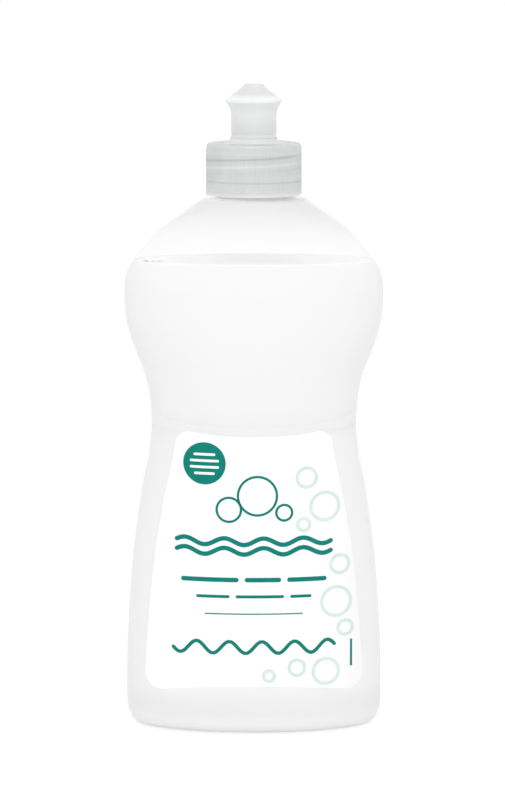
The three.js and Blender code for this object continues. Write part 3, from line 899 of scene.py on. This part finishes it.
class LabelSettings(bpy.types.PropertyGroup):
    film_colour: tint_prop("Film", "Colour of the label film", (0.955, 0.955, 0.955))
    ink_colour: tint_prop("Ink", "Main printing ink", (0.0033, 0.22, 0.175))
    pale_ink_colour: tint_prop("Pale ink", "Tint of the printed bubbles", (0.69, 0.81, 0.785))


class ClosureSettings(bpy.types.PropertyGroup):
    cap_colour: tint_prop("Cap", "Natural plastic of the cap", (0.64, 0.645, 0.65))
    nozzle_colour: tint_prop("Nozzle", "Milky plastic of the nozzle", (0.81, 0.815, 0.815))
    seal_colour: tint_prop("Seal", "Foam of the sealing ring", (0.88, 0.88, 0.86))
    rib_count: count_prop("Ribs", "Fine ribs round the cap", 120)
    rib_depth: size_prop("Rib depth", "Depth of the cap's ribs", 0.13 * MM)
    nozzle_rib_count: count_prop("Nozzle ribs", "Fine ribs round the nozzle's grip", 72)
    nozzle_rib_depth: size_prop("Nozzle rib depth", "Depth of the nozzle's ribs", 0.06 * MM)


class StageSettings(bpy.types.PropertyGroup):
    backdrop: tint_prop("Backdrop", "Colour of floor and backdrop", (1.0, 1.0, 1.0))
    fill: share_prop("Fill", "Strength of the light all round", 0.88)
    sky: share_prop("Sky", "Strength of the light from above", 0.97)
    key: share_prop("Key", "Power that the lamps share out", 3.0)
    floor_glow: share_prop("Floor glow", "White that the floor shows the camera", 1.1)


class HANDWASH_OT_bottle(bpy.types.Operator):
    """Build the clear bottle and the hand wash in it"""

    bl_idname = "handwash.bottle"
    bl_label = "Bottle and wash"

    def execute(self, context):
        settings = context.scene.handwash_bottle
        shell = build_shell(settings)
        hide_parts("bottle")
        dress(shell, clear_plastic(settings), "filled_bottle")
        shell.visible_shadow = False
        shell.visible_diffuse = False
        wash = build_wash(settings)
        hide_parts("hand_wash")
        dress(wash, wash_material(settings), "filled_bottle")
        bubbles = build_bubbles(settings)
        dress(bubbles, bubble_film(), "filled_bottle")
        bubbles.visible_shadow = False
        return {"FINISHED"}


class HANDWASH_OT_labels(bpy.types.Operator):
    """Build the front and back labels and what is printed on the front one"""

    bl_idname = "handwash.labels"
    bl_label = "Labels"

    def execute(self, context):
        settings = context.scene.handwash_label
        film = paper_material(settings)
        for name, node_name, side in (
            ("front_film", "front_label", -1),
            ("back_film", "back_label", 1),
        ):
            label = build_label(name, side)
            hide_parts(node_name)
            dress(label, film, "filled_bottle")
            label.visible_shadow = False
            label.visible_diffuse = False
        ink = print_material("ink", settings.ink_colour)
        pale = print_material("pale_ink", settings.pale_ink_colour)
        for piece in printed_shapes():
            dress(piece, ink, "filled_bottle")
        for piece in printed_spot_bars():
            dress(piece, film, "filled_bottle")
        for piece in printed_bubbles():
            dress(piece, pale, "filled_bottle")
        return {"FINISHED"}


def printed_shapes():
    """The label's solid print: a round spot, three rings, waves, rows of bars and a fine rule."""
    shapes = [
        print_bar("print_spot", SPOT_PLACE[0], SPOT_PLACE[1], SPOT_RADIUS, SPOT_RADIUS),
        print_ring("print_ring_a", 1.2 * MM, 80.6 * MM, 6.4 * MM, 0.8 * MM),
        print_ring("print_ring_b", -8.2 * MM, 76.0 * MM, 4.0 * MM, 0.8 * MM),
        print_ring("print_ring_c", 10.0 * MM, 75.0 * MM, 2.6 * MM, 0.8 * MM),
        print_bar("print_wave_a", 0.0, 65.4 * MM, 26.0 * MM, 0.75 * MM, 1.1 * MM, 4.0),
        print_bar("print_wave_b", 0.0, 62.2 * MM, 26.0 * MM, 0.75 * MM, 1.1 * MM, 4.0),
        print_bar("print_rule", 0.0, 41.2 * MM, 16.2 * MM, 0.2 * MM),
        print_bar("print_ripple", 0.0, 30.0 * MM, 27.0 * MM, 0.6 * MM, 2.0 * MM, 5.0),
    ]
    shapes += print_dashes("print_row_a", 52.6 * MM, 0.75 * MM, (19 * MM, 12 * MM, 13 * MM), 2 * MM)
    shapes += print_dashes("print_row_b", 47.0 * MM, 0.5 * MM, (11 * MM, 16 * MM, 7 * MM), 2 * MM)
    upright = [(SIDE_BAR_PLACE, z) for z in spaced(22.5 * MM, 31.5 * MM, 1 * MM)]
    shapes.append(print_stripe("print_side_bar", upright, [0.35 * MM] * len(upright)))
    return shapes


def printed_spot_bars():
    """White bars on the round spot."""
    x, z = SPOT_PLACE
    bars = []
    for i, (up, half_length) in enumerate(((3.0, 3.6), (0.9, 4.8), (-1.2, 4.8), (-3.3, 3.4))):
        place = (x, z + up * MM, half_length * MM, 0.42 * MM)
        bars.append(print_bar(f"print_spot_bar_{i + 1}", *place, coat=1))
    return bars


def printed_bubbles():
    """Pale bubbles rising on the label's right side."""
    places = (
        (17.4, 86.4, 3.2),
        (23.4, 76.6, 4.6),
        (16.4, 70.8, 2.0),
        (28.4, 57.0, 3.0),
        (27.2, 44.6, 4.8),
        (30.2, 35.6, 2.4),
        (23.8, 21.4, 4.2),
        (14.2, 23.0, 2.6),
        (5.0, 20.4, 1.8),
    )
    bubbles = []
    for i, (x, z, radius) in enumerate(places):
        bubbles.append(print_ring(f"print_bubble_{i + 1}", x * MM, z * MM, radius * MM, 1.1 * MM))
    return bubbles


def build_cap(settings):
    segments = settings.rib_count * 4
    top = DECK_TOP - CAP_CORNER_AXIAL

    def ribs(height):
        fade = smooth_step(CAP_BOTTOM + 1.6 * MM, CAP_BOTTOM + 2.2 * MM, height)
        fade *= 1 - smooth_step(top - 0.8 * MM, top + 0.6 * MM, height)
        depth = settings.rib_depth * fade
        return lambda turn: -depth * (0.5 - 0.5 * math.cos(settings.rib_count * turn))

    rings = [
        round_ring(CAP_BORE + 0.3 * MM, CAP_BOTTOM, segments),
        round_ring(CAP_RADIUS - 0.25 * MM, CAP_BOTTOM, segments),
        round_ring(CAP_RADIUS, CAP_BOTTOM + 0.25 * MM, segments),
        round_ring(CAP_RADIUS, CAP_BOTTOM + RIM_HEIGHT, segments),
        round_ring(CAP_RADIUS - 0.12 * MM, CAP_BOTTOM + 1.4 * MM, segments),
    ]
    for height in spaced(CAP_BOTTOM + 1.6 * MM, top, 0.25 * MM):
        rings.append(round_ring(CAP_RADIUS - 0.06 * MM, height, segments, ribs(height)))
    profile = [
        (CAP_RADIUS - 0.06 * MM, top + 0.2 * MM),
        ("bend", CAP_RADIUS, DECK_TOP),
        (CAP_RADIUS - CAP_CORNER_RADIAL, DECK_TOP),
        (BOSS_RADIUS + BOSS_SPREAD, DECK_TOP),
        ("bend", BOSS_RADIUS, DECK_TOP),
        (BOSS_RADIUS, BOSS_TOP),
        (SPOUT_RADIUS, BOSS_TOP),
        (SPOUT_RADIUS, SPOUT_BEAD_BOTTOM),
        ("bend", SPOUT_RADIUS + SPOUT_BEAD, SPOUT_BEAD_BOTTOM + SPOUT_BEAD / 2),
        (SPOUT_RADIUS + SPOUT_BEAD, SPOUT_BEAD_BOTTOM + SPOUT_BEAD_HEIGHT / 2),
        ("bend", SPOUT_RADIUS + SPOUT_BEAD, SPOUT_BEAD_BOTTOM + SPOUT_BEAD_HEIGHT),
        (SPOUT_RADIUS - 0.1 * MM, SPOUT_TOP),
        (SPOUT_BORE, SPOUT_TOP),
        (SPOUT_BORE, DECK_BOTTOM),
        (CAP_BORE, DECK_BOTTOM),
    ]
    rings += [round_ring(p.x, p.y, segments) for p in curve_points(profile, 8)]
    depth = CAP_BORE - CAP_THREAD_RADIUS

    def thread(height):
        return lambda turn: -depth * thread_height(turn, height, CAP_HELIX)

    for height in spaced(DECK_BOTTOM - 0.3 * MM, CAP_BOTTOM + 0.3 * MM, 0.3 * MM):
        rings.append(round_ring(CAP_BORE, height, segments, thread(height)))
    shell = mesh_from_rings("screw_cap_shell", rings, "joined")
    # Painted light and shade kept on the cap's points: lines on its wall, and painted light in the
    # boss's cove
    glow = shell.data.attributes.new("neck_glow", "FLOAT", "POINT")
    for i, point in enumerate(shell.data.vertices):
        radius = math.hypot(point.co.x, point.co.y)
        if radius > CAP_RADIUS - CAP_CORNER_RADIAL:
            glow.data[i].value = neck_glow(math.atan2(point.co.y, point.co.x), point.co.z)
        elif radius > BOSS_RADIUS - BOSS_SPREAD / 4:
            # Painted light in the cove round the boss
            cove = BOSS_RADIUS + BOSS_SPREAD
            out = smooth_step(cove - BOSS_SPREAD / 2, cove + BOSS_SPREAD / 4, radius)
            glow.data[i].value = BOSS_GLOW * (1 - out)
    return shell


def build_pin():
    """The plug pin, which the spokes hold in the foot of the spout."""
    segments = 96
    path = [
        (0.05 * MM, DECK_BOTTOM),
        (PIN_FOOT_RADIUS - 0.2 * MM, DECK_BOTTOM),
        ("bend", PIN_FOOT_RADIUS, DECK_BOTTOM),
        (PIN_FOOT_RADIUS, DECK_BOTTOM + 0.2 * MM),
        (PIN_FOOT_RADIUS, BOSS_TOP),
        (PIN_RADIUS, PIN_SLIM_FROM),
        (PIN_RADIUS, PIN_TOP - PIN_RADIUS / 2),
        ("bend", PIN_RADIUS, PIN_TOP),
        (0.05 * MM, PIN_TOP),
    ]
    return turned("plug_pin", path, segments, "closed")


def build_spoke(index):
    """One spoke: a rounded bar from the pin to the spout's wall."""
    turn = FULL_TURN * index / SPOKE_COUNT
    middle = (DECK_BOTTOM + DECK_TOP) / 2
    half_height = (DECK_TOP - DECK_BOTTOM) / 2
    rings = []
    for reach in spaced(PIN_FOOT_RADIUS - 0.3 * MM, SPOUT_BORE + 0.3 * MM, 0.5 * MM):
        ring = []
        for k in range(24):
            a = FULL_TURN * k / 24
            across = SPOKE_WIDTH / 2 * math.copysign(abs(math.cos(a)) ** 0.5, math.cos(a))
            up = half_height * math.copysign(abs(math.sin(a)) ** 0.5, math.sin(a))
            x = reach * math.cos(turn) - across * math.sin(turn)
            y = reach * math.sin(turn) + across * math.cos(turn)
            ring.append(Vector((x, y, middle + up)))
        rings.append(ring)
    return mesh_from_rings(f"pin_spoke_{index + 1}", rings, "closed")


def build_nozzle(settings):
    flare_top = GRIP_EDGE_HEIGHT - GRIP_EDGE / 2
    cone_foot = GRIP_EDGE_HEIGHT + GRIP_EDGE
    cone_waist = mix(GRIP_RADIUS, TIP_RADIUS, 0.69)
    ceiling = SPOUT_TOP + 0.3 * MM
    foot = BOSS_TOP + NOZZLE_SEAT_GAP
    lip_top = NOZZLE_BOTTOM + NOZZLE_LIP_HEIGHT
    path = [
        (NOZZLE_LIP, foot),
        (NOZZLE_RADIUS - 0.1 * MM, foot),
        ("bend", NOZZLE_RADIUS, foot),
        (NOZZLE_RADIUS, foot + 0.15 * MM),
        (NOZZLE_RADIUS, foot + 0.7 * MM),
        (NOZZLE_RADIUS - 0.15 * MM, foot + 0.9 * MM),
        (NOZZLE_RADIUS - 0.15 * MM, foot + 1.2 * MM),
        (NOZZLE_RADIUS, foot + 1.5 * MM),
        (NOZZLE_RADIUS, GRIP_BOTTOM - 2 * MM),
        (NOZZLE_RADIUS, GRIP_BOTTOM - 1 * MM),
        (NOZZLE_RADIUS, GRIP_BOTTOM),
        ("bend", NOZZLE_RADIUS + 0.2 * MM, mix(GRIP_BOTTOM, flare_top, 0.55)),
        (GRIP_RADIUS - 0.1 * MM, flare_top - 0.05 * MM),
        ("bend", GRIP_RADIUS, flare_top),
        (GRIP_RADIUS, flare_top + 0.25 * MM),
        (GRIP_RADIUS, GRIP_EDGE_HEIGHT + GRIP_EDGE / 4),
        ("bend", GRIP_RADIUS, cone_foot - 0.15 * MM),
        (GRIP_RADIUS - GRIP_EDGE / 3, cone_foot),
        ("bend", cone_waist, mix(cone_foot, NOZZLE_TOP, 0.5)),
        (TIP_RADIUS, NOZZLE_TOP - 0.3 * MM),
        ("bend", TIP_RADIUS - 0.05 * MM, NOZZLE_TOP),
        (TIP_RADIUS - 0.35 * MM, NOZZLE_TOP),
        (ORIFICE_RADIUS + 0.2 * MM, NOZZLE_TOP),
        ("bend", ORIFICE_RADIUS, NOZZLE_TOP),
        (ORIFICE_RADIUS, NOZZLE_TOP - 0.2 * MM),
        (ORIFICE_RADIUS, NOZZLE_TOP - ORIFICE_LENGTH),
        (NOZZLE_BORE, ceiling),
        (NOZZLE_BORE, lip_top + SPOUT_BEAD),
        (NOZZLE_LIP, lip_top),
    ]
    segments = settings.nozzle_rib_count * 4

    def ribs(point):
        fade = smooth_step(GRIP_BOTTOM - 2 * MM, GRIP_BOTTOM, point.y)
        fade *= 1 - smooth_step(flare_top - 1.2 * MM, flare_top - 0.4 * MM, point.y)
        depth = settings.nozzle_rib_depth * fade * (point.x >= NOZZLE_RADIUS)
        return lambda turn: -depth * (0.5 - 0.5 * math.cos(settings.nozzle_rib_count * turn))

    rings = [round_ring(p.x, p.y, segments, ribs(p)) for p in curve_points(path, 12)]
    return mesh_from_rings("nozzle_shell", rings, "joined")


def build_seal():
    edge = 0.15 * MM
    path = [
        (NECK_BORE, SEAL_BOTTOM + edge),
        ("bend", NECK_BORE, SEAL_BOTTOM),
        (NECK_BORE + edge, SEAL_BOTTOM),
        (SEAL_RADIUS - edge, SEAL_BOTTOM),
        ("bend", SEAL_RADIUS, SEAL_BOTTOM),
        (SEAL_RADIUS, SEAL_BOTTOM + edge),
        (SEAL_RADIUS, SEAL_TOP - edge),
        ("bend", SEAL_RADIUS, SEAL_TOP),
        (SEAL_RADIUS - edge, SEAL_TOP),
        (NECK_BORE + edge, SEAL_TOP),
        ("bend", NECK_BORE, SEAL_TOP),
        (NECK_BORE, SEAL_TOP - edge),
    ]
    return turned("seal_foam_ring", path, 128, steps=4)


class HANDWASH_OT_closure(bpy.types.Operator):
    """Build the screw cap with its pin, the nozzle and the sealing ring"""

    bl_idname = "handwash.closure"
    bl_label = "Cap, nozzle and seal"

    def execute(self, context):
        settings = context.scene.handwash_closure
        plastic = natural_plastic(settings)
        cap = build_cap(settings)
        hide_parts("screw_cap")
        dress(cap, plastic, "cap")
        cap.visible_shadow = False
        pin = build_pin()
        dress(pin, plastic, "cap")
        for index in range(SPOKE_COUNT):
            dress(build_spoke(index), plastic, "cap")
        nozzle = build_nozzle(settings)
        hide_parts("pull_nozzle")
        dress(nozzle, milky_plastic(settings), "nozzle")
        nozzle.visible_shadow = False
        nozzle.visible_diffuse = False
        seal = build_seal()
        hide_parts("sealing_ring")
        foam = material("seal_foam", settings.seal_colour, 0.8)
        grain(foam, 1600.0, 0.3, 0.1 * MM)
        dress(seal, foam, "seal")
        return {"FINISHED"}


def natural_plastic(settings):
    made = material("natural_plastic", settings.cap_colour, 0.25, shine=0.8, subsurface=0.35)
    see_through(made, 0.97, 0.75)
    low = [c * 0.94 for c in settings.cap_colour]
    mottle(made, low, settings.cap_colour, 120.0)
    # The cap's painted light and shade brightens and darkens its colour
    glow = node(made, "ShaderNodeAttribute", attribute_name="neck_glow")
    share = node(made, "ShaderNodeMath", operation="MULTIPLY_ADD")
    share.inputs[1].default_value = GLOW_STRENGTH
    share.inputs[2].default_value = 1.0
    link(made, glow.outputs["Fac"], share.inputs[0])
    times_colour(made, share.outputs[0])
    return made


def milky_plastic(settings):
    made = material("milky_plastic", settings.nozzle_colour, 0.3, subsurface=0.4)
    low = [c * 0.97 for c in settings.nozzle_colour]
    mottle(made, low, settings.nozzle_colour, 150.0)
    cone_foot = GRIP_EDGE_HEIGHT + GRIP_EDGE
    # Painted light and shade along the nozzle: darker low on the barrel, a painted light band at
    # the cone's foot, darker again up the cone
    stops = (
        (NOZZLE_BOTTOM, 0.92),
        (mix(NOZZLE_BOTTOM, GRIP_BOTTOM, 0.5), 0.89),
        (cone_foot - 1.2 * MM, 0.96),
        (cone_foot + 0.2 * MM, 1.06),
        (cone_foot + 1.6 * MM, 0.88),
    )
    times_colour(made, ramp_along(made, UP, stops))
    return made


def show_white_to_camera(made, shaded, colour, share, strength=1.0):
    """Mixes plain white in for rays that look straight at a surface, or by gloss or glass."""
    rays = node(made, "ShaderNodeLightPath")
    seen = rays.outputs["Is Camera Ray"]
    for name in ("Is Glossy Ray", "Is Transmission Ray"):
        either = node(made, "ShaderNodeMath", operation="MAXIMUM")
        link(made, seen, either.inputs[0])
        link(made, rays.outputs[name], either.inputs[1])
        seen = either.outputs[0]
    scaled = node(made, "ShaderNodeMath", operation="MULTIPLY")
    scaled.inputs[1].default_value = share
    plain = node(made, "ShaderNodeEmission", Color=(*colour, 1.0), Strength=strength)
    both = node(made, "ShaderNodeMixShader")
    link(made, seen, scaled.inputs[0])
    link(made, scaled.outputs[0], both.inputs["Fac"])
    link(made, shaded, both.inputs[1])
    link(made, plain.outputs["Emission"], both.inputs[2])
    return both


class HANDWASH_OT_stage(bpy.types.Operator):
    """Set up the floor, the light and the camera"""

    bl_idname = "handwash.stage"
    bl_label = "Stage"

    def execute(self, context):
        settings = context.scene.handwash_stage
        context.scene.view_settings.view_transform = "Standard"
        build_floor(settings)
        build_world(settings)
        build_lamps(settings)
        build_camera()
        return {"FINISHED"}


def build_floor(settings):
    reach = 6.0
    corners = [(-reach, -reach, 0), (reach, -reach, 0), (reach, reach, 0), (-reach, reach, 0)]
    floor = new_piece("floor", corners, [(0, 1, 2, 3)])
    made = material("floor_white", (0.97, 0.97, 0.97), 0.8)
    shader = shader_of(made)
    output = made.node_tree.nodes["Material Output"]
    shaded = shader.outputs["BSDF"]
    both = show_white_to_camera(made, shaded, settings.backdrop, 0.75, settings.floor_glow)
    link(made, both.outputs["Shader"], output.inputs["Surface"])
    floor.data.materials.append(made)


def build_world(settings):
    world = bpy.data.worlds.new("studio")
    world.use_nodes = True
    bpy.context.scene.world = world
    shade = world.node_tree.nodes["Background"]
    shade.inputs["Color"].default_value = (1.0, 1.0, 1.0, 1.0)
    place = node(world, "ShaderNodeTexCoord")
    split = node(world, "ShaderNodeSeparateXYZ")
    light = node(world, "ShaderNodeMapRange", To_Min=settings.fill, To_Max=settings.sky)
    link(world, place.outputs["Generated"], split.inputs["Vector"])
    link(world, split.outputs["Z"], light.inputs["Value"])
    link(world, light.outputs["Result"], shade.inputs["Strength"])
    both = show_white_to_camera(world, shade.outputs["Background"], settings.backdrop, 1.0)
    output = world.node_tree.nodes["World Output"]
    link(world, both.outputs["Shader"], output.inputs["Surface"])


def build_lamps(settings):
    lamps = (
        ("front_lamp", (0.0, -2.2, 0.9), 1.6, 0.35, False),
        ("low_lamp", (0.0, -1.5, 0.12), 0.24, 0.3, False),
        ("top_lamp", (0.0, -1.0, 1.6), 0.4, 1.5, True),
    )
    target = Vector((0, 0, 0.11))
    for name, place, size, share, mirrored in lamps:
        lamp = bpy.data.lights.new(name, "AREA")
        lamp.shape = "SQUARE"
        lamp.size = size
        lamp.energy = settings.key * share
        holder = bpy.data.objects.new(name, lamp)
        holder.location = place
        holder.visible_glossy = mirrored
        holder.rotation_euler = (target - Vector(place)).to_track_quat("-Z", "Y").to_euler()
        bpy.context.scene.collection.objects.link(holder)


def build_camera():
    camera = bpy.data.cameras.new("camera")
    camera.lens = CAMERA_LENS
    camera.sensor_width = 36
    camera.clip_start = 0.1
    camera.clip_end = 100
    holder = bpy.data.objects.new("camera", camera)
    holder.location = CAMERA_PLACE
    holder.rotation_euler = (math.pi / 2 + CAMERA_PITCH, 0, 0)
    bpy.context.scene.collection.objects.link(holder)
    bpy.context.scene.camera = holder


class HANDWASH_PT_panel(bpy.types.Panel):
    """The bottle's builders and settings"""

    bl_label = "Hand wash bottle"
    bl_idname = "HANDWASH_PT_panel"
    bl_space_type = "VIEW_3D"
    bl_region_type = "UI"
    bl_category = "Hand wash"

    def draw(self, context):
        for operator in OPERATORS:
            self.layout.operator(operator.bl_idname)
        for name in SETTINGS:
            group = getattr(context.scene, name)
            box = self.layout.box()
            for key in group.__annotations__:
                box.prop(group, key)


OPERATORS = (HANDWASH_OT_bottle, HANDWASH_OT_labels, HANDWASH_OT_closure, HANDWASH_OT_stage)
SETTINGS = {
    "handwash_bottle": BottleSettings,
    "handwash_label": LabelSettings,
    "handwash_closure": ClosureSettings,
    "handwash_stage": StageSettings,
}


def register():
    for name, group in SETTINGS.items():
        bpy.utils.register_class(group)
        setattr(bpy.types.Scene, name, PointerProperty(type=group))
    for operator in OPERATORS:
        bpy.utils.register_class(operator)
    bpy.utils.register_class(HANDWASH_PT_panel)


def unregister():
    bpy.utils.unregister_class(HANDWASH_PT_panel)
    for operator in reversed(OPERATORS):
        bpy.utils.unregister_class(operator)
    for name, group in SETTINGS.items():
        delattr(bpy.types.Scene, name)
        bpy.utils.unregister_class(group)


def main():
    register()
    bpy.ops.handwash.bottle()
    bpy.ops.handwash.labels()
    bpy.ops.handwash.closure()
    bpy.ops.handwash.stage()


if __name__ == "__main__":
    main()
